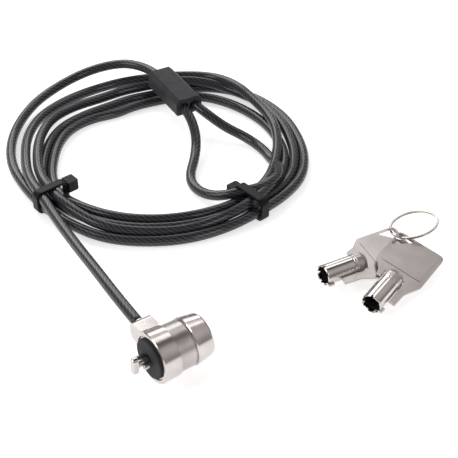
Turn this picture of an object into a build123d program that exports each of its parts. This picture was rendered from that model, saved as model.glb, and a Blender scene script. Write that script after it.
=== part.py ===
"""Laptop cable lock: a slot lock head on a coiled steel cable, with two tubular keys on a split ring.

The origin is on the table, straight below the centre of the rubber face that seats against a
laptop. +X runs back along the lock head, +Y runs out along the cable, and +Z is up.
"""

import os
from math import cos, pi, radians, sin, tan

from build123d import *

# Driving dimensions, in millimetres.
cable_diameter = 4.1
clearance = 0.06

# Lock head, measured along X from the seat face.
axis_height = 9.4
pad_thickness = 1.4
pad_radius = 7.2
collar_start = 1.0
collar_end = 7.5
collar_front_radius = 9.4
collar_rear_radius = 9.0
collar_bore = 7.9
middle_end = 14.3
middle_front_radius = 8.45
middle_rear_radius = 8.3
head_end = 21.4
cap_front_radius = 8.7
cap_rear_radius = 7.6
lug_top = 16.9
lug_bottom = 9.5
lug_reach = 12.4
lug_end = 8.1

# Lock bar and guide pins, which enter a 7 mm by 3 mm slot.
bar_length = 6.6
bar_width = 2.7
bar_back = -4.3
bar_front = -6.0
neck_radius = 1.3
guide_pin_radius = 0.85
guide_pin_spread = 2.45
guide_pin_tip = -3.2
guide_pin_end = 4.2

# Tubular cylinder.
cylinder_radius = 5.2
pin_count = 7
pin_circle = 3.55
pin_diameter = 0.95
pin_hole_diameter = 1.07
shear_face = 10.4
shear_gap = 0.08
rotor_end = 13.6
rotor_radius = 5.05
key_space_inner = 3.1
key_space_outer = 4.1
driver_length = 1.8
spring_length = 2.6
spring_wire = 0.16
key_pin_end = 15.6

# Small pieces of the head.
plate_back = 2.4
journal_radius = collar_bore - clearance
clip_start = 4.4
clip_end = 5.3
cap_spigot_radius = 6.7
cap_spigot_length = 2.4
block_pin_x = 7.0
block_pin_radius = 0.7
block_pin_inner = 4.4
block_pin_outer = 7.7
pin_hole_depth = driver_length + spring_length
post_end = 20.2
detent_x = 11.0
detent_radius = 0.65
detent_groove_depth = 0.36
drive_pin_x = 11.6
drive_pin_radius = 0.5
drive_pin_inner = -1.1
drive_pin_outer = 4.6
end_stop_radius = 2.6
end_stop_length = 3.6

# Coil.
coil_x = 77.0
coil_y = 108.0
first_angle = 185.0
station_angle = 30.0
coil_height = 8.2
coil_edge_radius = 1.8
middle_radii = [59.0, 53.0, 51.5, 47.5, 47.0, 50.5, 50.0, 49.8, 51.8, 53.6, 54.6, 57.0]
spacings = [4.0, 4.4, 5.8, 6.8, 5.4, 4.3, 4.2, 4.2, 4.2, 4.0, 4.3, 4.2]
outer_lanes = [0.7, 1.2, 1.4, 1.5, 1.4, 1.0, 1.1, 1.2, 1.1, 1.2, 1.4, 1.5]
inner_lanes = [-1.4, -1.0, -1.0, -1.7, -1.6, -1.5, -1.4, -1.0, -1.3, -1.3, -1.3, -1.3]

# Cable ties.
strap_thickness = 1.1
strap_width = 3.6
tie_block = 4.6
tie_block_width = 5.2
left_tie_angle = 185.0
right_tie_angle = -85.0

# Crimp cover that closes the loop.
crimp_centre = (96.4, 131.8)
crimp_turn = 6.6
crimp_length = 28.0
crimp_width = 12.0
crimp_height = 7.5
crimp_chamfer = 1.8
crimp_end_wall = 3.0
crimp_exit_height = 3.4
ferrule_width = 9.2
ferrule_height = 4.6
loop_spread = 2.35

# Cable routes, from point to point. The coil's turns are inside the coil's outer shape.
cable_axis_x = 4.6
cable_axis_z = 13.2
lead_route = [
    (cable_axis_x, lug_reach, cable_axis_z),
    (5.5, 27.0, 12.9),
    (8.2, 48.0, 10.9),
    (11.1, 70.0, 7.7),
    (13.9, 91.0, 5.2),
]
tail_route = [
    (16.5, 122.0, 2.6),
    (20.5, 139.5, 2.6),
    (33.0, 159.0, 3.4),
    (53.0, 172.5, 4.6),
    (75.0, 175.5, 7.4),
    (90.5, 168.0, 11.0),
    (97.0, 156.0, 12.05),
]
loop_route = [
    (91.7, 112.3, 10.2),
    (88.8, 103.6, 6.4),
    (82.8, 95.6, 3.0),
    (72.9, 85.6, 2.1),
    (70.4, 76.3, 2.1),
    (72.9, 67.0, 3.2),
    (79.7, 60.2, 6.0),
    (89.0, 57.7, 6.7),
    (98.3, 60.2, 5.4),
    (105.1, 67.0, 3.2),
    (107.6, 75.5, 2.1),
    (109.6, 85.0, 2.1),
    (108.4, 95.0, 2.9),
    (103.6, 103.8, 5.2),
    (99.2, 112.0, 9.7),
]

# Keys, each measured from the centre of its open end, back along its barrel.
key_radius = 3.9
key_bore = 3.3
key_bore_depth = 10.0
key_groove_start = 12.0
key_collar_start = 13.2
key_collar_end = 17.5
key_collar_radius = 4.05
key_shank_radius = 3.35
key_length = 38.8
bow_half_width = 9.9
bow_thickness = 1.0
bow_panel_rise = 0.18
bow_tongue = 2.2
bow_slot = 4.15
key_poses = {
    "key_1": ((75.96, 3.72, 5.24), -4.65, -2.25, 10.5),
    "key_2": ((80.96, -16.95, 3.92), 20.3, 1.1, 13.4),
}

# Split ring.
ring_centre = (121.76, 5.94, 6.53)
ring_radius = 9.0
ring_pitch = -8.7
ring_tilt = 14.5
ring_width = 0.8
ring_height = 0.8

head_axis = Axis((0, 0, axis_height), (1, 0, 0))
cable_radius = cable_diameter / 2


def turn(outline, mode=Mode.ADD):
    """Revolves a closed outline of (x, radius) points about the lock head's axis."""
    with BuildSketch(Plane.XZ) as half:
        with BuildLine():
            Polyline([(x, axis_height + radius) for x, radius in outline], close=True)
        make_face()
    revolve(half.sketch, axis=head_axis, mode=mode)


def sleeve(start, end, inner, outer, mode=Mode.ADD):
    """Makes a plain sleeve on the lock head's axis."""
    turn([(start, inner), (end, inner), (end, outer), (start, outer)], mode)


def rods(start, end, diameter, centres, mode=Mode.ADD):
    """Makes rods parallel to X, at (y, z) centres."""
    with BuildSketch(Plane.YZ.offset(start)) as sections:
        with Locations(*centres):
            Circle(diameter / 2)
    extrude(sections.sketch, amount=end - start, mode=mode)


def save(piece, name):
    """Labels a finished piece and writes its file."""
    piece.part.label = name
    export_step(piece.part, f"parts/{name}.step")


def corner_radii(route):
    """Gives each corner of a route an arc as large as its two runs allow."""
    radii = []
    for before, corner, after in zip(route, route[1:], route[2:]):
        run_in = Vector(corner) - Vector(before)
        run_out = Vector(after) - Vector(corner)
        half_turn = radians(run_in.get_angle(run_out)) / 2
        radii.append(0.45 * min(run_in.length, run_out.length) / tan(half_turn))
    return radii


def cord_tube(route, name):
    """Sweeps the cable's section along straight runs joined by tangent arcs."""
    radii = corner_radii(route)
    with BuildPart() as tube:
        with BuildLine() as path:
            FilletPolyline(*route, radius=radii)
        line = path.wires()[0]
        with BuildSketch(Plane(origin=line @ 0, z_dir=line % 0)):
            Circle(cable_radius)
        sweep(path=line)
    expected = pi * cable_radius**2 * line.length
    print(name, "length", round(line.length, 1), "volume over section times length",
          round(tube.part.volume / expected, 4), "radii", [round(radius) for radius in radii])
    return tube


def station(index, lane, beyond):
    """Finds a point of the coil's edge: a lane at a station, and a distance outwards beyond it."""
    angle = radians(first_angle - station_angle * index)
    radius = middle_radii[index] + lane * spacings[index] + beyond
    return (coil_x + radius * cos(angle), coil_y + radius * sin(angle))


def tie_plane(angle):
    """Stands a plane across the coil, with its X axis outwards and its origin at the coil's centre."""
    turned = radians(angle)
    return Plane(origin=(coil_x, coil_y, 0), x_dir=(cos(turned), sin(turned), 0),
                 z_dir=(sin(turned), -cos(turned), 0))


def key_plane(open_end, heading, rise, roll):
    """Places a key: X back along its barrel and Z out of its bow's upper face."""
    place = Location(open_end, (0, 0, heading))
    place = place * Location((0, 0, 0), (0, -rise, 0))
    place = place * Location((0, 0, 0), (roll, 0, 0))
    return Plane(place)


def cable_tie(angle, inner, outer, top, block_bottom):
    """Makes a tie round the coil between two radii, with its lock block on the inner side."""
    with BuildPart() as tie:
        with BuildSketch(tie_plane(angle)):
            with Locations(((inner + outer) / 2, top / 2)):
                RectangleRounded(outer - inner, top, 2.6)
                RectangleRounded(outer - inner - 2 * strap_thickness, top - 2 * strap_thickness,
                                 1.5, mode=Mode.SUBTRACT)
        extrude(amount=strap_width / 2, both=True)
        with BuildSketch(tie_plane(angle)):
            with Locations((inner - tie_block / 2 + 0.4, block_bottom + tie_block / 2)):
                Rectangle(tie_block, tie_block)
        extrude(amount=tie_block_width / 2, both=True)
        chamfer(tie.edges().filter_by(Axis.Z).sort_by_distance((coil_x, coil_y, 0))[:2], 0.5)
    return tie


os.makedirs("parts", exist_ok=True)

# Lock head: the swivelling collar, whose lug grips the end of the cable.
with BuildPart() as swivel_collar:
    turn([
        (collar_start, collar_bore),
        (collar_start, collar_front_radius - 0.3),
        (collar_start + 0.3, collar_front_radius),
        (collar_end, collar_rear_radius),
        (collar_end, collar_bore),
    ])
    with BuildSketch(Plane.YZ.offset(collar_start)):
        with BuildLine():
            Polyline((0, lug_bottom), (0, lug_top), (lug_reach - 2.6, lug_top))
            RadiusArc((lug_reach - 2.6, lug_top), (lug_reach, lug_top - 2.6), 2.6)
            Line((lug_reach, lug_top - 2.6), (lug_reach, lug_bottom + 2.6))
            RadiusArc((lug_reach, lug_bottom + 2.6), (lug_reach - 2.6, lug_bottom), 2.6)
            Line((lug_reach - 2.6, lug_bottom), (0, lug_bottom))
        make_face()
    extrude(amount=lug_end - collar_start)
    sleeve(collar_start - 1, lug_end + 1, 0, collar_bore, mode=Mode.SUBTRACT)
    sleeve(collar_end, lug_end + 1, 0, collar_rear_radius + 0.3, mode=Mode.SUBTRACT)
    sleeve(clip_start, clip_end, collar_bore - 0.1, collar_bore + 0.7, mode=Mode.SUBTRACT)
    with BuildSketch(Plane.XZ.offset(-lug_reach)):
        with Locations((cable_axis_x, cable_axis_z)):
            Circle(end_stop_radius)
    extrude(amount=end_stop_length, mode=Mode.SUBTRACT)
save(swivel_collar, "swivel_collar")

# The cable's swaged end, held in the lug. Its ferrule is flush with the lug's face.
with BuildPart() as cable_end_stop:
    with BuildSketch(Plane.XZ.offset(-lug_reach)):
        with Locations((cable_axis_x, cable_axis_z)):
            Circle(end_stop_radius)
    extrude(amount=end_stop_length)
    chamfer(cable_end_stop.edges().sort_by(Axis.Y)[0], 0.4)
save(cable_end_stop, "cable_end_stop")

# Head body: a front journal that the collar turns on, and the middle section behind it.
with BuildPart() as head_body:
    turn([
        (plate_back, cylinder_radius),
        (plate_back, journal_radius),
        (collar_end + 0.15, journal_radius),
        (collar_end + 0.15, middle_front_radius),
        (middle_end - 0.7, middle_rear_radius),
        (middle_end - 0.3, middle_rear_radius - 0.5),
        (middle_end, middle_rear_radius - 0.5),
        (middle_end, cap_spigot_radius),
        (middle_end - cap_spigot_length, cap_spigot_radius),
        (middle_end - cap_spigot_length, cylinder_radius),
    ])
    sleeve(clip_start, clip_end, journal_radius - 0.6, journal_radius + 1, mode=Mode.SUBTRACT)
    with BuildSketch(Plane.XY.offset(axis_height + cylinder_radius - 0.5)):
        with Locations((block_pin_x, 0)):
            Circle(block_pin_radius)
    extrude(amount=journal_radius, mode=Mode.SUBTRACT)
    with BuildSketch(Plane.XY.offset(axis_height - journal_radius)):
        with Locations((detent_x, 0)):
            Circle(detent_radius)
    extrude(amount=journal_radius - cylinder_radius + 0.5, mode=Mode.SUBTRACT)
save(head_body, "head_body")

# A retaining clip sits in facing grooves of the journal and the collar, so the collar can only turn.
with BuildPart() as swivel_clip:
    sleeve(clip_start + 0.05, clip_end - 0.05, journal_radius - 0.55, journal_radius - 0.06 + 0.5)
    with BuildSketch(Plane.XZ) as gap:
        with Locations((clip_start, axis_height - journal_radius)):
            Rectangle(3, 3)
    extrude(gap.sketch, amount=1.5, both=True, mode=Mode.SUBTRACT)
save(swivel_clip, "swivel_clip")

# The face plate closes the head's front, and carries the guide pins.
guide_pin_centres = [(-guide_pin_spread, axis_height), (guide_pin_spread, axis_height)]
with BuildPart() as face_plate:
    sleeve(pad_thickness, plate_back, neck_radius + 0.12, pad_radius + 0.4)
    sleeve(plate_back, guide_pin_end, neck_radius + 0.12, cylinder_radius)
    rods(pad_thickness, guide_pin_end, guide_pin_radius * 2, guide_pin_centres, mode=Mode.SUBTRACT)
save(face_plate, "face_plate")

with BuildPart() as face_pad:
    turn([
        (0.25, neck_radius + 0.35),
        (0, neck_radius + 0.6),
        (0, pad_radius - 0.35),
        (0.35, pad_radius),
        (pad_thickness, pad_radius),
        (pad_thickness, neck_radius + 0.35),
    ])
    rods(-1, pad_thickness + 1, guide_pin_radius * 2, guide_pin_centres, mode=Mode.SUBTRACT)
save(face_pad, "face_pad")

with BuildPart() as guide_pins:
    rods(guide_pin_tip, guide_pin_end, guide_pin_radius * 2, guide_pin_centres)
    chamfer(guide_pins.edges().group_by(Axis.X)[0], 0.3)
save(guide_pins, "guide_pins")

# Lock cylinder: a fixed pin block in front, and a rotor behind it that the key turns.
pin_angles = [2 * pi * (index + 0.5) / pin_count for index in range(pin_count)]
pin_centres = [
    (pin_circle * cos(angle), axis_height + pin_circle * sin(angle)) for angle in pin_angles
]
block_face = shear_face - shear_gap
with BuildPart() as pin_block:
    sleeve(guide_pin_end + 0.1, block_face, neck_radius + 0.12, cylinder_radius)
    rods(block_face - pin_hole_depth, block_face, pin_hole_diameter, pin_centres,
         mode=Mode.SUBTRACT)
    with BuildSketch(Plane.XY.offset(axis_height + block_pin_inner)):
        with Locations((block_pin_x, 0)):
            Circle(block_pin_radius)
    extrude(amount=cylinder_radius, mode=Mode.SUBTRACT)
save(pin_block, "pin_block")

with BuildPart() as block_pin:
    with BuildSketch(Plane.XY.offset(axis_height + block_pin_inner)):
        with Locations((block_pin_x, 0)):
            Circle(block_pin_radius)
    extrude(amount=block_pin_outer - block_pin_inner)
    chamfer(block_pin.edges().group_by(Axis.Z)[0], 0.2)
save(block_pin, "block_pin")

driver_start = block_face - driver_length
with BuildPart() as driver_pins:
    rods(driver_start, block_face, pin_diameter, pin_centres)
    chamfer(driver_pins.edges().group_by(Axis.X)[0], 0.15)
save(driver_pins, "driver_pins")

spring_start = block_face - pin_hole_depth + spring_wire
with BuildPart() as one_spring:
    with BuildLine() as coil_line:
        Helix(pitch=(spring_length - spring_wire) / 5, height=spring_length - spring_wire,
              radius=pin_diameter / 2 - spring_wire, center=(spring_start, 0, 0),
              direction=(1, 0, 0))
    spring_line = coil_line.wires()[0]
    with BuildSketch(Plane(origin=spring_line @ 0, z_dir=spring_line % 0)):
        Circle(spring_wire / 2)
    sweep(path=spring_line, is_frenet=True)
with BuildPart() as pin_springs:
    with Locations(*[(0, y, z) for y, z in pin_centres]):
        add(one_spring.part)
save(pin_springs, "pin_springs")

# The rotor's rear post and the barrel behind the pins leave the ring-shaped space for the key.
def drive_pin_shape(outer, mode=Mode.ADD):
    """Makes the cross pin that joins the rotor and the lock bar's shaft, or its hole, out to a radius."""
    with BuildSketch(Plane.XZ.offset(-outer)) as section:
        with Locations((drive_pin_x, axis_height)):
            Circle(drive_pin_radius)
    extrude(section.sketch, amount=outer - drive_pin_inner, mode=mode)


with BuildPart() as rotor:
    sleeve(shear_face, rotor_end, neck_radius, rotor_radius)
    sleeve(rotor_end, post_end, 0, key_space_inner)
    sleeve(rotor_end - 1, rotor_end, 0, neck_radius)
    rods(shear_face, post_end, pin_hole_diameter, pin_centres, mode=Mode.SUBTRACT)
    with BuildSketch(Plane.XY.offset(axis_height + key_space_inner - 0.8)):
        with Locations(((rotor_end + post_end) / 2 + 1.2, 0)):
            Rectangle(post_end - rotor_end - 2.4, 1.0)
    extrude(amount=2, mode=Mode.SUBTRACT)
    sleeve(detent_x - detent_radius, detent_x + detent_radius, rotor_radius - detent_groove_depth,
           rotor_radius + 1, mode=Mode.SUBTRACT)
    drive_pin_shape(rotor_radius + 1, Mode.SUBTRACT)
save(rotor, "rotor")

with BuildPart() as key_pins:
    rods(shear_face, key_pin_end, pin_diameter, pin_centres)
    chamfer(key_pins.edges().group_by(Axis.X)[-1], 0.2)
save(key_pins, "key_pins")

with BuildPart() as key_sleeve:
    sleeve(rotor_end + 0.1, head_end - 0.5, key_space_outer, cylinder_radius)
    with BuildSketch(Plane.XY.offset(axis_height + key_space_outer - 0.4)):
        with Locations((head_end - 2.5, 0)):
            Rectangle(4.2, 1.4)
    extrude(amount=0.9, mode=Mode.SUBTRACT)
save(key_sleeve, "key_sleeve")

with BuildPart() as rear_cap:
    turn([
        (middle_end, cylinder_radius),
        (middle_end - cap_spigot_length, cylinder_radius),
        (middle_end - cap_spigot_length, cap_spigot_radius),
        (middle_end, cap_spigot_radius),
        (middle_end, cap_front_radius - 0.35),
        (middle_end + 0.35, cap_front_radius),
        (head_end - 0.8, cap_rear_radius + 0.15),
        (head_end - 0.25, cap_rear_radius - 0.15),
        (head_end, cap_rear_radius - 0.7),
        (head_end, cylinder_radius + 0.3),
        (head_end - 0.3, cylinder_radius),
    ])
save(rear_cap, "rear_cap")

# A sprung ball rides in the rotor's groove, so the rotor turns with a light drag and stays forward.
with BuildPart() as detent_ball:
    with Locations((detent_x, 0, axis_height - rotor_radius - 0.28)):
        Sphere(0.6)
save(detent_ball, "detent_ball")

with BuildPart() as detent_spring:
    with BuildLine() as detent_coil:
        Helix(pitch=0.34, height=1.7, radius=0.42,
              center=(detent_x, 0, axis_height - journal_radius + 0.12), direction=(0, 0, 1))
    detent_line = detent_coil.wires()[0]
    with BuildSketch(Plane(origin=detent_line @ 0, z_dir=detent_line % 0)):
        Circle(spring_wire / 2)
    sweep(path=detent_line, is_frenet=True)
save(detent_spring, "detent_spring")

# Lock bar: a T head in front, and a shaft that runs back into the rotor.
with BuildPart() as lock_bar:
    with BuildSketch(Plane.YZ.offset(bar_front)):
        with Locations((0, axis_height)):
            SlotOverall(bar_length, bar_width, rotation=90)
    extrude(amount=bar_back - bar_front)
    chamfer(lock_bar.edges().group_by(Axis.X)[0], 0.25)
    sleeve(bar_back, rotor_end - 1, 0, neck_radius)
    drive_pin_shape(rotor_radius, Mode.SUBTRACT)
save(lock_bar, "lock_bar")

with BuildPart() as drive_pin:
    drive_pin_shape(drive_pin_outer)
save(drive_pin, "drive_pin")

# Coil: one closed solid of the turns' outer shape, narrowed where the ties hold it.
stations = range(len(middle_radii))
outer_edge = [station(index, outer_lanes[index], cable_radius) for index in stations]
inner_edge = [station(index, inner_lanes[index], -cable_radius) for index in stations]
tie_radii = {left_tie_angle: (50.2, 65.0), right_tie_angle: (45.2, 61.8)}
tie_top = coil_height + 1.7
with BuildPart() as cable_coil:
    with BuildSketch():
        with BuildLine():
            Spline(*outer_edge, periodic=True)
        make_face()
        with BuildLine():
            Spline(*inner_edge, periodic=True)
        make_face(mode=Mode.SUBTRACT)
    extrude(amount=coil_height)
    fillet(cable_coil.edges().filter_by(GeomType.BSPLINE), coil_edge_radius)
    for angle, (inner, outer) in tie_radii.items():
        with BuildSketch(tie_plane(angle)):
            with Locations(((inner + outer) / 2, 0)):
                Rectangle(outer - inner + tie_top, 2 * strap_thickness)
            with Locations((inner + strap_thickness - 5, tie_top / 2)):
                Rectangle(10, 2 * tie_top)
            with Locations((outer - strap_thickness + 5, tie_top / 2)):
                Rectangle(10, 2 * tie_top)
        extrude(amount=strap_width / 2, both=True, mode=Mode.SUBTRACT)
save(cable_coil, "cable_coil")

left_tie = cable_tie(left_tie_angle, *tie_radii[left_tie_angle], tie_top, 4.6)
save(left_tie, "left_tie")
right_tie = cable_tie(right_tie_angle, *tie_radii[right_tie_angle], tie_top, 2.6)
save(right_tie, "right_tie")

crimp_floor = coil_height + 0.05
crimp_plane = Plane(
    origin=(*crimp_centre, crimp_floor),
    x_dir=(cos(radians(crimp_turn)), -sin(radians(crimp_turn)), 0),
    z_dir=(-sin(radians(crimp_turn)), -cos(radians(crimp_turn)), 0),
)

# Crimp: an aluminium ferrule inside a moulded cover closes the loop on itself.
cover_outline = [
    (-crimp_width / 2, 0),
    (crimp_width / 2, 0),
    (crimp_width / 2, crimp_height - crimp_chamfer),
    (crimp_width / 2 - crimp_chamfer, crimp_height),
    (crimp_chamfer - crimp_width / 2, crimp_height),
    (-crimp_width / 2, crimp_height - crimp_chamfer),
]
ferrule_length = crimp_length - 2 * crimp_end_wall
with BuildPart() as crimp_cover:
    with BuildSketch(crimp_plane.offset(-crimp_length / 2)):
        with BuildLine():
            Polyline(cover_outline, close=True)
        make_face()
    extrude(amount=crimp_length)
    chamfer(crimp_cover.edges().group_by(SortBy.LENGTH)[-1].group_by(Axis.Z)[0], 0.5)
    with BuildSketch(crimp_plane.offset(-ferrule_length / 2)):
        with Locations((0, crimp_exit_height)):
            SlotOverall(ferrule_width, ferrule_height)
    extrude(amount=ferrule_length, mode=Mode.SUBTRACT)
    with BuildSketch(crimp_plane.offset(ferrule_length / 2)):
        with Locations((-loop_spread, crimp_exit_height), (loop_spread, crimp_exit_height)):
            Circle(cable_radius)
    extrude(amount=crimp_end_wall, mode=Mode.SUBTRACT)
    with BuildSketch(crimp_plane.offset(-crimp_length / 2)):
        with Locations((0, crimp_exit_height)):
            Circle(cable_radius)
    extrude(amount=crimp_end_wall, mode=Mode.SUBTRACT)
save(crimp_cover, "crimp_cover")

with BuildPart() as crimp_ferrule:
    with BuildSketch(crimp_plane.offset(-ferrule_length / 2)):
        with Locations((0, crimp_exit_height)):
            SlotOverall(ferrule_width, ferrule_height)
    extrude(amount=ferrule_length)
save(crimp_ferrule, "crimp_ferrule")

# Cable outside the coil: from the lock to the coil, from the coil to the crimp, and the loop.
crimp_in = crimp_plane.from_local_coords((0, crimp_exit_height, -ferrule_length / 2))
loop_out = crimp_plane.from_local_coords((-loop_spread, crimp_exit_height, ferrule_length / 2))
loop_back = crimp_plane.from_local_coords((loop_spread, crimp_exit_height, ferrule_length / 2))
tail_way = [*tail_route, tuple(crimp_in)]
loop_way = [tuple(loop_out), *loop_route, tuple(loop_back)]
for name, route in (("cable_lead", lead_route), ("cable_tail", tail_way), ("cable_loop", loop_way)):
    tube = cord_tube(route, name)
    save(tube, name)

# Keys: each has a barrel, a collar pressed on its shank, and a flat bow held in the collar.
bow_outline = [
    (key_collar_start + 0.6, -bow_tongue),
    (key_collar_end, -bow_tongue),
    (key_collar_end, -bow_slot),
    (5.6, -bow_slot),
    (5.6, -6.6),
    (12.6, -6.9),
    (19.6, -bow_half_width),
    (key_length, -bow_half_width),
    (key_length, bow_half_width),
    (21.3, bow_half_width),
    (17.6, 6.8),
    (14.3, 5.9),
    (14.3, bow_slot),
    (key_collar_end, bow_slot),
    (key_collar_end, bow_tongue),
    (key_collar_start + 0.6, bow_tongue),
]
hole_outline = [(37.9, 9.2), (37.9, 2.0), (30.0, 9.2)]
panel_outline = [
    (21.5, 8.3),
    (28.6, 8.3),
    (36.9, 0.6),
    (36.9, -8.3),
    (21.5, -8.3),
]
cut_depths = [0.7, 1.3, 0.4, 1.0, 1.5, 0.6, 1.1]
for key_name, pose in key_poses.items():
    plane = key_plane(*pose)
    key_axis = Axis(plane.origin, plane.x_dir)
    cut_plane = Plane(origin=plane.origin, x_dir=plane.y_dir, z_dir=plane.x_dir)

    with BuildPart() as key_barrel:
        with BuildSketch(plane):
            with BuildLine():
                Polyline([
                    (0.25, key_bore),
                    (0, key_bore + 0.15),
                    (0, key_radius - 0.2),
                    (0.2, key_radius),
                    (key_groove_start, key_radius),
                    (key_groove_start + 0.25, key_radius - 0.3),
                    (key_groove_start + 0.5, key_radius),
                    (key_collar_start, key_radius),
                    (key_collar_start, key_shank_radius),
                    (key_collar_end - 0.3, key_shank_radius),
                    (key_collar_end - 0.3, 0),
                    (key_bore_depth + 0.8, 0),
                    (key_bore_depth, key_bore),
                ], close=True)
            make_face()
        revolve(axis=key_axis)
        with BuildSketch(cut_plane):
            with Locations((-key_radius, -1.0)):
                Rectangle(1.6, 0.9)
        extrude(amount=2.4)
        for index, depth in enumerate(cut_depths):
            angle = 2 * pi * (index + 0.5) / pin_count
            with BuildSketch(cut_plane):
                with Locations((pin_circle * cos(angle), pin_circle * sin(angle))):
                    Circle(0.5)
            extrude(amount=depth, mode=Mode.SUBTRACT)
        with BuildSketch(plane):
            with Locations((key_length / 2 + key_collar_start + 0.6, 0)):
                Rectangle(key_length, 2 * bow_tongue)
        extrude(amount=bow_thickness / 2, both=True, mode=Mode.SUBTRACT)
    save(key_barrel, f"{key_name}_barrel")

    with BuildPart() as key_collar:
        with BuildSketch(plane):
            with BuildLine():
                Polyline([
                    (key_collar_start, key_shank_radius),
                    (key_collar_start, key_collar_radius - 0.25),
                    (key_collar_start + 0.25, key_collar_radius),
                    (key_collar_end - 1.8, key_collar_radius),
                    (key_collar_end, key_collar_radius - 0.75),
                    (key_collar_end, 0),
                    (key_collar_end - 0.3, 0),
                    (key_collar_end - 0.3, key_shank_radius),
                ], close=True)
            make_face()
        revolve(axis=key_axis)
        with BuildSketch(plane):
            with Locations((key_length / 2 + key_collar_start + 0.6, 0)):
                Rectangle(key_length, 2 * bow_tongue)
        extrude(amount=bow_thickness / 2, both=True, mode=Mode.SUBTRACT)
    save(key_collar, f"{key_name}_collar")

    with BuildPart() as key_bow:
        with BuildSketch(plane) as outline:
            with BuildLine():
                Polyline(bow_outline, close=True)
            make_face()
            fillet(outline.vertices().sort_by(Axis(plane.origin, plane.x_dir))[-4:], 2.0)
        extrude(amount=bow_thickness / 2, both=True)
        with BuildSketch(plane) as hole:
            with BuildLine():
                Polyline(hole_outline, close=True)
            make_face()
            fillet(hole.vertices(), 0.6)
        extrude(amount=bow_thickness, both=True, mode=Mode.SUBTRACT)
        with BuildSketch(plane) as panel:
            with BuildLine():
                Polyline(panel_outline, close=True)
            make_face()
            fillet(panel.vertices(), 0.8)
        extrude(amount=bow_thickness / 2 + bow_panel_rise, both=True)
    save(key_bow, f"{key_name}_bow")

# Split ring: two turns of flat wire pressed together, with the parting line on its edges.
ring_place = Location(ring_centre, (0, ring_pitch, 0)) * Location((0, 0, 0), (-ring_tilt, 0, 0))
ring_plane = Plane(ring_place)
with BuildPart() as split_ring:
    with BuildSketch(Plane(origin=ring_plane.origin, x_dir=ring_plane.x_dir,
                           z_dir=-ring_plane.y_dir)):
        with Locations((ring_radius, 0)):
            Rectangle(ring_width, ring_height)
            with Locations((ring_width / 2, 0), (-ring_width / 2, 0)):
                Rectangle(0.16, 0.1, mode=Mode.SUBTRACT)
    revolve(axis=Axis(ring_plane.origin, ring_plane.z_dir))
save(split_ring, "split_ring")
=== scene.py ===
"""Looks for a laptop cable lock: coiled cable, lock head, crimped loop and two tubular keys.

Lengths in the tables below are in millimetres, and become metres where a mesh is made. The material
functions take metres, as Blender's nodes do.
"""

import math

import bmesh
import bpy
from mathutils import Matrix, Vector


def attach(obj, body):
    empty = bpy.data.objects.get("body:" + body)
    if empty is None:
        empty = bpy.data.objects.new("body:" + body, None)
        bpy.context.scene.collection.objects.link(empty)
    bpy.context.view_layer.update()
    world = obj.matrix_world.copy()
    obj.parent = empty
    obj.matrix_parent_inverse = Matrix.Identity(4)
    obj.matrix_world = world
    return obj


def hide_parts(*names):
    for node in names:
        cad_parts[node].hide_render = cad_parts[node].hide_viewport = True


MM = 0.001

# Cable. The coil has STATIONS stations round it, each split into SPLITS steps.
CABLE_DIAMETER = 4.1
CABLE_RADIUS = CABLE_DIAMETER / 2
COIL_CENTRE = (77.0, 108.0)
FIRST_ANGLE = 185.0
STATIONS = 12
SPLITS = 2
STEPS = STATIONS * SPLITS
STEP_ANGLE = 360.0 / STEPS
LAYER_HEIGHT = 3.6

# At each station, the middle of the bundle and the distance from lane to lane.
MIDDLE_RADII = [59.0, 53.0, 51.5, 47.5, 47.0, 50.5, 50.5, 50.5, 52.5, 54.0, 54.6, 57.0]
SPACINGS = [4.0, 4.4, 5.8, 6.8, 5.4, 4.3, 4.2, 4.2, 4.2, 4.0, 4.3, 4.2]

# One row for each turn: its lane across the bundle and its layer, at each station.
LANES = [
    [0.6, 1.2, 1.4, 1.5, 1.2, 0.9, -0.6, -1.0, -1.4, -1.4, -1.3, -1.3],
    [-1.4, -1.0, -1.0, -1.7, -1.6, -1.5, -1.4, -0.9, -0.5, 0.15, 0.6, 0.7],
    [-0.5, 0.1, 0.3, 0.1, 0.1, 0.2, 0.4, 0.3, 0.5, -0.4, -0.4, -0.5],
    [-0.4, -0.7, -0.6, -0.7, -0.6, 0.5, 1.0, 1.1, 1.3, 1.0, 1.4, 1.5],
]
LEVELS = [
    [1.3, 1.0, 0.6, 0.3, 0.9, 1.2, 1.3, 1.0, 0.2, 0.3, 0.3, 0.3],
    [0.3, 0.0, 0.0, 0.0, 0.0, 0.0, 0.0, 0.0, 0.0, 1.3, 0.3, 0.6],
    [1.3, 1.1, 1.0, 0.5, 0.8, 1.0, 0.5, 0.3, 0.0, 0.3, 0.0, 0.0],
    [0.3, 0.0, 0.0, 0.0, 0.0, 0.0, 0.0, 0.0, 0.0, 0.3, 0.0, 0.0],
]
END_LANE = 0.7
END_LEVEL = 0.3

# The cable leaves the last turn through these (radius, height) steps.
TAIL_ROW = [(61.8, 3.1), (62.0, 2.5), (64.3, 2.3), (66.0, 2.6), (67.4, 3.2)]

# A tie's strap lifts the turns off the floor at its station.
TIE_STEPS = (0, 9 * SPLITS)
TIE_FLOOR = 1.1
SETTLING_ROUNDS = 60
SETTLING_SHARE = 0.25
SPLINE_RESOLUTION = 14

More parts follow.
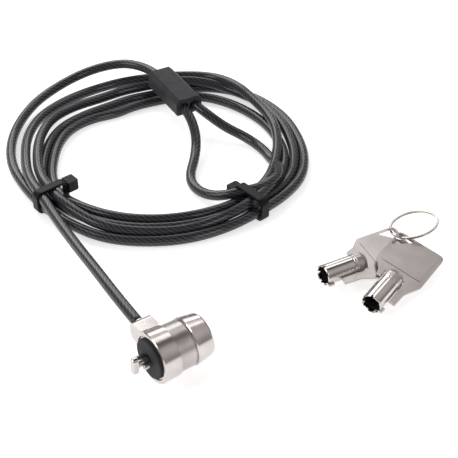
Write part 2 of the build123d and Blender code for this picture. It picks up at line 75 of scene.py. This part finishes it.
# Routes outside the coil. The loop passes over the bundle and back.
LEAD_ROUTE = [
    (4.6, 12.4, 13.2),
    (5.5, 27.0, 12.9),
    (8.2, 48.0, 10.9),
    (11.1, 70.0, 7.9),
    (13.9, 91.0, 6.7),
]
TAIL_ROUTE = [
    (53.0, 172.5, 4.6),
    (75.0, 175.5, 7.4),
    (90.5, 168.0, 11.0),
    (97.0, 156.0, 12.05),
    (97.66, 142.73, 11.65),
    (96.8, 135.0, 11.65),
]
LOOP_ROUTE = [
    (93.4, 126.5, 11.65),
    (92.8, 121.14, 11.65),
    (91.7, 112.3, 10.2),
    (88.8, 103.6, 6.4),
    (82.8, 95.6, 3.0),
    (72.9, 85.6, 2.1),
    (70.4, 76.3, 2.1),
    (72.9, 67.0, 3.6),
    (79.7, 60.2, 7.0),
    (89.0, 57.7, 7.0),
    (98.3, 60.2, 6.6),
    (105.1, 67.0, 4.4),
    (107.6, 75.5, 2.2),
    (109.6, 85.0, 2.1),
    (108.4, 95.0, 2.9),
    (103.6, 103.8, 5.2),
    (99.2, 112.0, 9.7),
    (97.47, 120.6, 11.65),
    (98.1, 126.0, 11.65),
]

# Mouldings, as (piece, CAD node, radius of its rounded edges, slot).
MOULDINGS = [
    ("crimp_cover_moulding", "crimp_cover", 0.5, "black_vinyl"),
    ("left_tie_moulding", "left_tie", 0.3, "black_nylon"),
    ("right_tie_moulding", "right_tie", 0.3, "black_nylon"),
]

# Each key's open end, then its heading, rise and roll in degrees.
KEY_POSES = {
    "key_1": ((75.96, 3.72, 5.24), -4.65, -2.25, 10.5),
    "key_2": ((80.96, -16.95, 3.92), 20.3, 1.1, 13.4),
}

# The outline of the thin dark cup of painted shade in each key's bore, as (distance from the open end,
# radius), ending on the axis.
SHADE_CUP_OUTLINE = [(1.6, 3.24), (9.2, 3.24), (9.6, 3.0), (9.75, 2.4)]
SHADE_CUP_DEPTH = 9.75
SHADE_CUP_SIDES = 48
SHADE_CUP_THICKNESS = 0.2

# Split ring: flat wire wound twice round, which steps from one layer to the other between its ends.
RING_CENTRE = (121.76, 5.94, 6.53)
RING_RADIUS = 9.0
RING_PITCH = -8.7
RING_TILT = 14.5
RING_START = -18.0
RING_STEP = 34.0
RING_LAYER = 0.235
RING_PLACES = 270
WIRE_WIDTH = 0.85
WIRE_HEIGHT = 0.42
WIRE_SIDES = 12
WIRE_END_SHARE = 0.55

# Softboxes, as (name, place, size in metres, power in watts), all aimed at one point.
SOFTBOXES = [
    ("key_light", (110.0, 800.0, 610.0), 0.5, 3.2),
    ("left_light", (-760.0, 260.0, 620.0), 0.5, 2.4),
    ("front_light", (120.0, -900.0, 500.0), 0.35, 1.2),
    ("bow_light", (551.0, 305.0, 839.0), 0.34, 0.6),
    ("barrel_light", (562.0, 751.0, 459.0), 0.3, 0.7),
]
SOFTBOX_AIM = (70.0, 60.0, 0.0)

# Half the floor's side, in metres.
FLOOR_REACH = 6.0

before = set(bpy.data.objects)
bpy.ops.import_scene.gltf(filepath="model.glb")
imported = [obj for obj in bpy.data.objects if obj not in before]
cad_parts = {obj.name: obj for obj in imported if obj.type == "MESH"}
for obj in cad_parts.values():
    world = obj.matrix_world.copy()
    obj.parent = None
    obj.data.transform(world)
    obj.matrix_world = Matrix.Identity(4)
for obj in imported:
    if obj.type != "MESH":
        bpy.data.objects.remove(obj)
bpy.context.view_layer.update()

# The camera stands where the photographer's did, above and in front of the lock head.
camera_data = bpy.data.cameras.new("camera")
camera_data.lens = 90.24
camera_data.sensor_width = 36.0
camera_data.clip_start = 0.01
camera = bpy.data.objects.new("camera", camera_data)
camera.location = Vector((-132.98, -233.16, 271.84)) * MM
look_at = Vector((68.1, 50.8, 0.0)) * MM
camera.rotation_euler = (look_at - camera.location).to_track_quat("-Z", "Y").to_euler()
bpy.context.scene.collection.objects.link(camera)
bpy.context.scene.camera = camera

# Plain colours, so that the pale floor stays white.
bpy.context.scene.view_settings.view_transform = "Standard"


def at_step(row, step, after_last):
    """A row's value at a step round the coil, where after_last follows the row's own values."""
    index, part = divmod(step, SPLITS)
    following = row[index + 1] if index + 1 < len(row) else after_last
    return row[index] + (following - row[index]) * part / SPLITS


def settled_turns():
    """The turns' and the tail's (radius, height) at each step, moved apart where they lie in another."""
    turns = []
    for lanes, levels, next_lane, next_level in zip(
        LANES,
        LEVELS,
        [row[0] for row in LANES[1:]] + [END_LANE],
        [row[0] for row in LEVELS[1:]] + [END_LEVEL],
    ):
        turn = []
        for step in range(STEPS):
            middle = at_step(MIDDLE_RADII, step, MIDDLE_RADII[0])
            spacing = at_step(SPACINGS, step, SPACINGS[0])
            lane = at_step(lanes, step, next_lane)
            level = at_step(levels, step, next_level)
            turn.append([middle + lane * spacing, CABLE_RADIUS + level * LAYER_HEIGHT])
        turns.append(turn)
    tail = [[radius, height] for radius, height in TAIL_ROW]
    for _ in range(SETTLING_ROUNDS):
        for step in range(STEPS):
            cables = [turn[step] for turn in turns]
            if step < len(tail):
                cables.append(tail[step])
            for first, cable_here in enumerate(cables):
                for other in cables[first + 1:]:
                    part_cables(cable_here, other)
            floor_height = CABLE_RADIUS + (TIE_FLOOR if step in TIE_STEPS else 0.0)
            for place in cables:
                place[1] = max(place[1], floor_height)
    return turns, tail


def part_cables(one, other):
    """Moves two cables' (radius, height) apart by a share of how far they lie in each other."""
    across = other[0] - one[0]
    up = other[1] - one[1]
    apart = max(math.hypot(across, up), 0.01)
    inside = CABLE_DIAMETER - apart
    if inside > 0:
        move = SETTLING_SHARE * inside / apart
        one[0] -= across * move
        other[0] += across * move
        one[1] -= up * move
        other[1] += up * move


def on_coil(radius, height, step):
    """The control point at a step round the coil, outside the radius as far as the spline cuts inside."""
    angle = math.radians(FIRST_ANGLE - STEP_ANGLE * step)
    outward = radius / (0.75 + 0.25 * math.cos(math.radians(STEP_ANGLE)))
    x = COIL_CENTRE[0] + outward * math.cos(angle)
    y = COIL_CENTRE[1] + outward * math.sin(angle)
    return (x, y, height)


def spline_points(name, route):
    """Points in metres along the NURBS line whose control points are the route's."""
    curve = bpy.data.curves.new(name, "CURVE")
    curve.dimensions = "3D"
    curve.resolution_u = SPLINE_RESOLUTION
    spline = curve.splines.new("NURBS")
    spline.points.add(len(route) - 1)
    for point, place in zip(spline.points, route):
        point.co = (place[0] * MM, place[1] * MM, place[2] * MM, 1.0)
    spline.order_u = 3
    spline.use_endpoint_u = True
    holder = bpy.data.objects.new(name, curve)
    bpy.context.scene.collection.objects.link(holder)
    bpy.context.view_layer.update()
    line = bpy.data.meshes.new_from_object(holder)
    points = [vertex.co.copy() for vertex in line.vertices]
    bpy.data.objects.remove(holder)
    bpy.data.curves.remove(curve)
    bpy.data.meshes.remove(line)
    return points


def add_piece(name, mesh):
    """Links a new object with a mesh."""
    piece = bpy.data.objects.new(name, mesh)
    bpy.context.scene.collection.objects.link(piece)
    return piece


def piece_from(name, shape):
    """A new object from a bmesh, which it frees."""
    mesh = bpy.data.meshes.new(name)
    shape.to_mesh(mesh)
    shape.free()
    return add_piece(name, mesh)


def join_rings(shape, rings):
    """Smooth faces between each ring of vertices and the next, as (place, side, face) rows."""
    rows = []
    for place, (here, there) in enumerate(zip(rings, rings[1:])):
        for side in range(len(here)):
            after = (side + 1) % len(here)
            face = shape.faces.new((here[side], here[after], there[after], there[side]))
            face.smooth = True
            rows.append((place, side, face))
    return rows


def close_ends(shape, rings):
    """Flat faces over the first and last rings, with every face then turned outwards."""
    shape.faces.new(list(reversed(rings[0])))
    shape.faces.new(rings[-1])
    bmesh.ops.recalc_face_normals(shape, faces=shape.faces)


def tube(name, points, radius, sides=24):
    """A closed round tube along points, with UVs: U in metres along it and V from 0 to 1 round it."""
    shape = bmesh.new()
    uv_layer = shape.loops.layers.uv.new("UVMap")
    rings = []
    lengths = [0.0]
    across = None
    for index, point in enumerate(points):
        before = points[max(index - 1, 0)]
        after = points[min(index + 1, len(points) - 1)]
        along = (after - before).normalized()
        if across is None:
            across = along.cross(Vector((0, 0, 1))).normalized()
        across = (across - along * across.dot(along)).normalized()
        up = along.cross(across)
        ring = []
        for side in range(sides):
            angle = 2 * math.pi * side / sides
            offset = across * math.cos(angle) + up * math.sin(angle)
            ring.append(shape.verts.new(point + offset * radius))
        rings.append(ring)
        if index:
            lengths.append(lengths[-1] + (point - points[index - 1]).length)
    for place, side, face in join_rings(shape, rings):
        corners = ((place, side), (place, side + 1), (place + 1, side + 1), (place + 1, side))
        for loop, (here, around) in zip(face.loops, corners):
            loop[uv_layer].uv = (lengths[here], around / sides)
    close_ends(shape, rings)
    return piece_from(name, shape)


def rounded_copy(node_name, piece_name, edge):
    """A copy of a CAD node with its sharp edges rounded."""
    piece = add_piece(piece_name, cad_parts[node_name].data.copy())
    weld = piece.modifiers.new("weld", "WELD")
    weld.merge_threshold = 0.001 * MM
    bevel = piece.modifiers.new("rounded_edges", "BEVEL")
    bevel.width = edge * MM
    bevel.segments = 3
    bevel.limit_method = "ANGLE"
    bevel.angle_limit = math.radians(35.0)
    return piece


def painted_bore_shade(name, open_end, heading, rise, roll):
    """A thin dark cup just inside a key's bore, with a rounded bottom corner: painted shade for the
    shadow in the bore's hollow.
    """
    place = Matrix.Translation(Vector(open_end) * MM)
    for angle, axis in ((heading, "Z"), (-rise, "Y"), (roll, "X")):
        place = place @ Matrix.Rotation(math.radians(angle), 4, axis)
    shape = bmesh.new()
    rings = []
    for along, radius in SHADE_CUP_OUTLINE:
        ring = []
        for side in range(SHADE_CUP_SIDES):
            angle = 2 * math.pi * side / SHADE_CUP_SIDES
            spot = Vector((along, radius * math.cos(angle), radius * math.sin(angle))) * MM
            ring.append(shape.verts.new(place @ spot))
        rings.append(ring)
    join_rings(shape, rings[::-1])
    middle = shape.verts.new(place @ (Vector((SHADE_CUP_DEPTH, 0.0, 0.0)) * MM))
    for side, corner in enumerate(rings[-1]):
        shape.faces.new((corner, middle, rings[-1][(side + 1) % SHADE_CUP_SIDES]))
    piece = piece_from(name, shape)
    thickness = piece.modifiers.new("thickness", "SOLIDIFY")
    thickness.thickness = SHADE_CUP_THICKNESS * MM
    thickness.offset = 0.0
    return piece


def wire_section():
    """The flat wire's rounded outline, as (across, up) corners."""
    section = []
    for side in range(WIRE_SIDES):
        angle = 2 * math.pi * (side + 0.5) / WIRE_SIDES
        across = math.copysign(abs(math.cos(angle)) ** 0.5, math.cos(angle))
        up = math.copysign(abs(math.sin(angle)) ** 0.5, math.sin(angle))
        section.append((across * WIRE_WIDTH / 2, up * WIRE_HEIGHT / 2))
    return section


def wound_ring(name):
    """The ring's wire as one closed mesh, along two turns less the gap between its ends."""
    place = Matrix.Translation(Vector(RING_CENTRE) * MM)
    place = place @ Matrix.Rotation(math.radians(RING_PITCH), 4, "Y")
    place = place @ Matrix.Rotation(math.radians(-RING_TILT), 4, "X")
    section = wire_section()
    shape = bmesh.new()
    rings = []
    for index in range(RING_PLACES + 1):
        travel = (720.0 - RING_STEP) * index / RING_PLACES
        stepped = min(max((travel - (360.0 - RING_STEP)) / RING_STEP, 0.0), 1.0)
        layer = RING_LAYER * (2 * stepped * stepped * (3 - 2 * stepped) - 1)
        angle = math.radians(RING_START + travel)
        share = WIRE_END_SHARE if index in (0, RING_PLACES) else 1.0
        ring = []
        for across, up in section:
            reach = RING_RADIUS + across * share
            spot = Vector((reach * math.cos(angle), reach * math.sin(angle), layer + up * share)) * MM
            ring.append(shape.verts.new(place @ spot))
        rings.append(ring)
    join_rings(shape, rings)
    close_ends(shape, rings)
    return piece_from(name, shape)


# The steel in the jacket: its strands make one turn round the cable in each lay, in metres.
CABLE_LAY = 0.020
STRANDS = 8.0
STRAND_ARC = 3.0
WIRES_ROUND = 24.0
WIRE_RELIEF = 0.12


def material(name):
    """A new node material, its shader and its node tree."""
    made = bpy.data.materials.new(name)
    made.use_nodes = True
    return made, made.node_tree.nodes["Principled BSDF"], made.node_tree


def math_node(tree, operation, first, second=None):
    """A math node's output, from numbers or other outputs."""
    node = tree.nodes.new("ShaderNodeMath")
    node.operation = operation
    for socket, value in zip(node.inputs, (first, second)):
        if value is None:
            continue
        if isinstance(value, (int, float)):
            socket.default_value = value
        else:
            tree.links.new(value, socket)
    return node.outputs[0]


def noise(tree, scale, detail=3.0, roughness=0.55, stretch=(1.0, 1.0, 1.0)):
    """Noise over the object's own place, with scale in lumps per metre."""
    place = tree.nodes.new("ShaderNodeTexCoord")
    mapping = tree.nodes.new("ShaderNodeMapping")
    mapping.inputs["Scale"].default_value = stretch
    texture = tree.nodes.new("ShaderNodeTexNoise")
    texture.inputs["Scale"].default_value = scale
    texture.inputs["Detail"].default_value = detail
    texture.inputs["Roughness"].default_value = roughness
    tree.links.new(place.outputs["Object"], mapping.inputs["Vector"])
    tree.links.new(mapping.outputs["Vector"], texture.inputs["Vector"])
    return texture.outputs["Fac"]


def ramp(tree, value, stops):
    """Colours or greys between stops of (position, colour)."""
    node = tree.nodes.new("ShaderNodeValToRGB")
    tree.links.new(value, node.inputs["Fac"])
    for index, (position, colour) in enumerate(stops):
        if index < 2:
            element = node.color_ramp.elements[index]
        else:
            element = node.color_ramp.elements.new(position)
        element.position = position
        element.color = (*colour, 1.0)
    return node.outputs["Color"]


def spread_value(tree, value, low, high):
    """Maps a value from 0 to 1 onto low to high."""
    node = tree.nodes.new("ShaderNodeMapRange")
    node.inputs["To Min"].default_value = low
    node.inputs["To Max"].default_value = high
    tree.links.new(value, node.inputs["Value"])
    return node.outputs["Result"]


def bump(tree, shader, height, distance, strength=1.0):
    """Bumps the shader's surface by height, where 1 stands distance metres proud."""
    node = tree.nodes.new("ShaderNodeBump")
    node.inputs["Distance"].default_value = distance
    node.inputs["Strength"].default_value = strength
    tree.links.new(height, node.inputs["Height"])
    tree.links.new(node.outputs["Normal"], shader.inputs["Normal"])


def metal(name, dark, light, smooth, rough, stretch=(1.0, 1.0, 1.0), scale=900.0, depth=0.000004):
    """A metal whose colour and polish vary a little, with fine marks along one direction."""
    made, shader, tree = material(name)
    shader.inputs["Metallic"].default_value = 1.0
    broad = noise(tree, 120.0, 2.0)
    tree.links.new(ramp(tree, broad, [(0.3, dark), (0.7, light)]), shader.inputs["Base Color"])
    fine = noise(tree, scale, 4.0, 0.6, stretch)
    tree.links.new(spread_value(tree, fine, smooth, rough), shader.inputs["Roughness"])
    bump(tree, shader, fine, depth, 0.6)
    return made


def moulded(name, dark, light, smooth, rough, grain=2500.0, depth=0.00002):
    """A moulded plastic or rubber with a fine grain."""
    made, shader, tree = material(name)
    shader.inputs["Specular IOR Level"].default_value = 0.16
    broad = noise(tree, 200.0, 3.0)
    tree.links.new(ramp(tree, broad, [(0.3, dark), (0.7, light)]), shader.inputs["Base Color"])
    fine = noise(tree, grain, 3.0)
    tree.links.new(spread_value(tree, fine, smooth, rough), shader.inputs["Roughness"])
    bump(tree, shader, fine, depth, 0.5)
    return made


def cable_material():
    """Clear vinyl over twisted steel: the wires' colour is painted shade in the grooves and painted
    highlight on the strand crowns, below a smooth coat.
    """
    made, shader, tree = material("clear_jacket_over_wire")
    place = tree.nodes.new("ShaderNodeUVMap")
    place.uv_map = "UVMap"
    parts = tree.nodes.new("ShaderNodeSeparateXYZ")
    tree.links.new(place.outputs["UV"], parts.inputs["Vector"])
    turns_along = math_node(tree, "DIVIDE", parts.outputs["X"], CABLE_LAY)
    turns = math_node(tree, "SUBTRACT", turns_along, parts.outputs["Y"])
    strand = math_node(tree, "FRACT", math_node(tree, "MULTIPLY", turns, STRANDS))
    from_middle = math_node(tree, "ABSOLUTE", math_node(tree, "SUBTRACT", strand, 0.5))
    round_strand = math_node(tree, "COSINE", math_node(tree, "MULTIPLY", from_middle, STRAND_ARC))
    wires = math_node(tree, "MULTIPLY", parts.outputs["Y"], WIRES_ROUND)
    lines = math_node(tree, "SUBTRACT", wires, turns_along)
    in_line = math_node(tree, "SUBTRACT", math_node(tree, "FRACT", lines), 0.5)
    wire_middle = math_node(tree, "ABSOLUTE", in_line)
    wire_relief = math_node(tree, "MULTIPLY", wire_middle, WIRE_RELIEF)
    height = math_node(tree, "SUBTRACT", round_strand, wire_relief)
    # Base colour follows the strand height: painted shade in the grooves between strands, painted
    # highlight on the strand crowns.
    colour = ramp(tree, height, [
        (0.0, (0.001, 0.001, 0.002)),
        (0.5, (0.004, 0.004, 0.006)),
        (0.95, (0.033, 0.034, 0.047)),
    ])
    tree.links.new(colour, shader.inputs["Base Color"])
    shader.inputs["Roughness"].default_value = 0.5
    shader.inputs["Specular IOR Level"].default_value = 0.25
    shader.inputs["Coat Weight"].default_value = 0.62
    shader.inputs["Coat Roughness"].default_value = 0.06
    shader.inputs["Coat IOR"].default_value = 1.53
    bump(tree, shader, height, 0.0003, 0.8)
    return made


# Mouldings: the crimp's cover and the two ties.
moulding_finishes = {
    "black_nylon": moulded("black_nylon", (0.005, 0.005, 0.006), (0.010, 0.010, 0.012), 0.30, 0.46),
    "black_vinyl": moulded("black_vinyl", (0.026, 0.026, 0.030), (0.044, 0.044, 0.050), 0.42, 0.60),
}
for piece_name, node_name, edge, slot_name in MOULDINGS:
    moulding = rounded_copy(node_name, piece_name, edge)
    moulding.data.materials.clear()
    moulding.data.materials.append(moulding_finishes[slot_name])
    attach(moulding, "cable_side")
    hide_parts(node_name)

# Cords: the cable from the head's lug to the crimp, then its loop beyond the crimp.
turns, tail = settled_turns()
cable_route = list(LEAD_ROUTE)
for turn in [*turns, tail]:
    for step, (radius, height) in enumerate(turn):
        cable_route.append(on_coil(radius, height, step))
cable_route += TAIL_ROUTE

jacket = cable_material()
cable_line = spline_points("cable_line", cable_route)
cable = tube("cable", cable_line, CABLE_RADIUS * MM)
loop_line = spline_points("loop_line", LOOP_ROUTE)
loop = tube("cable_end_loop", loop_line, CABLE_RADIUS * MM)
for piece in (cable, loop):
    piece.data.materials.append(jacket)
    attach(piece, "cable_side")
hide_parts("cable_lead", "cable_coil", "cable_tail")
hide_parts("cable_loop")

# A thin dark cup of painted shade in each key's bore, as deep as the bore's shade looks.
bore_shade_finish = moulded("bore_shade", (0.002, 0.002, 0.002), (0.005, 0.004, 0.004), 0.6, 0.8)
for key_name, pose in KEY_POSES.items():
    shade_cup = painted_bore_shade(f"{key_name}_painted_bore_shade", *pose)
    shade_cup.data.materials.append(bore_shade_finish)
    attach(shade_cup, key_name)

# The split ring's wire.
ring_wire = wound_ring("split_ring_wire")
ring_finish = metal("ring_wire", (0.40, 0.36, 0.34), (0.56, 0.52, 0.49), 0.16, 0.28)
ring_wire.data.materials.append(ring_finish)
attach(ring_wire, "key_ring")
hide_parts("split_ring")

# Finishes for the CAD nodes, as (material, nodes).
FINISHES = [
    (
        metal("bright_nickel", (0.56, 0.52, 0.51), (0.66, 0.62, 0.61), 0.16, 0.26),
        ["swivel_collar", "rear_cap", "face_plate"],
    ),
    (
        metal("polished_nickel", (0.54, 0.51, 0.50), (0.64, 0.61, 0.60), 0.07, 0.13),
        ["key_1_barrel", "key_2_barrel", "lock_bar", "guide_pins"],
    ),
    (
        metal("satin_nickel", (0.46, 0.43, 0.42), (0.55, 0.52, 0.51), 0.26, 0.38, (1.0, 6.0, 6.0)),
        ["head_body", "key_1_bow", "key_2_bow", "key_1_collar", "key_2_collar", "cable_end_stop",
         "drive_pin", "swivel_clip"],
    ),
    (
        metal("black_steel", (0.04, 0.04, 0.045), (0.09, 0.09, 0.095), 0.30, 0.45),
        ["key_sleeve", "rotor"],
    ),
    (
        metal("brass", (0.55, 0.38, 0.14), (0.70, 0.52, 0.22), 0.22, 0.36),
        ["pin_block", "driver_pins", "key_pins"],
    ),
    (
        metal("spring_steel", (0.42, 0.38, 0.36), (0.58, 0.54, 0.51), 0.16, 0.30),
        ["pin_springs", "detent_spring", "detent_ball", "block_pin"],
    ),
    (
        moulded("grey_rubber", (0.030, 0.030, 0.034), (0.044, 0.044, 0.048), 0.55, 0.75),
        ["face_pad"],
    ),
    (
        metal("pressed_aluminium", (0.62, 0.62, 0.63), (0.74, 0.74, 0.75), 0.30, 0.45),
        ["crimp_ferrule"],
    ),
]
for finish, node_names in FINISHES:
    for node_name in node_names:
        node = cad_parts[node_name]
        node.data.materials.clear()
        node.data.materials.append(finish)

# Floor, just below the object.
floor_mesh = bpy.data.meshes.new("floor")
floor_corners = [
    (-FLOOR_REACH, -FLOOR_REACH, 0),
    (FLOOR_REACH, -FLOOR_REACH, 0),
    (FLOOR_REACH, FLOOR_REACH, 0),
    (-FLOOR_REACH, FLOOR_REACH, 0),
]
floor_mesh.from_pydata(floor_corners, [], [(0, 1, 2, 3)])
floor = add_piece("floor", floor_mesh)
floor.location.z = -0.0001
floor_finish, floor_shader, _ = material("floor")
floor_shader.inputs["Base Color"].default_value = (0.92, 0.92, 0.92, 1.0)
floor_shader.inputs["Roughness"].default_value = 0.9
floor_shader.inputs["Specular IOR Level"].default_value = 0.1
floor_shader.inputs["Emission Color"].default_value = (1.0, 1.0, 1.0, 1.0)
floor_shader.inputs["Emission Strength"].default_value = 0.58
floor_mesh.materials.append(floor_finish)

# Studio: a sky that is brightest halfway up, and softboxes.
world = bpy.data.worlds.new("studio")
world.use_nodes = True
bpy.context.scene.world = world
background = world.node_tree.nodes["Background"]
background.inputs["Strength"].default_value = 1.0
sky_place = world.node_tree.nodes.new("ShaderNodeTexCoord")
sky_parts = world.node_tree.nodes.new("ShaderNodeSeparateXYZ")
world.node_tree.links.new(sky_place.outputs["Generated"], sky_parts.inputs["Vector"])
sky_colour = ramp(world.node_tree, sky_parts.outputs["Z"], [
    (0.0, (0.18, 0.17, 0.17)),
    (0.3, (0.38, 0.36, 0.35)),
    (0.6, (0.62, 0.59, 0.57)),
    (0.78, (0.56, 0.52, 0.50)),
    (0.86, (0.08, 0.07, 0.07)),
    (1.0, (0.03, 0.03, 0.03)),
])
world.node_tree.links.new(sky_colour, background.inputs["Color"])

for lamp_name, place, size, power in SOFTBOXES:
    lamp_data = bpy.data.lights.new(lamp_name, "AREA")
    lamp_data.size = size
    lamp_data.energy = power
    lamp = bpy.data.objects.new(lamp_name, lamp_data)
    lamp.location = Vector(place) * MM
    lamp.rotation_euler = (Vector(SOFTBOX_AIM) * MM - lamp.location).to_track_quat("-Z", "Y").to_euler()
    bpy.context.scene.collection.objects.link(lamp)
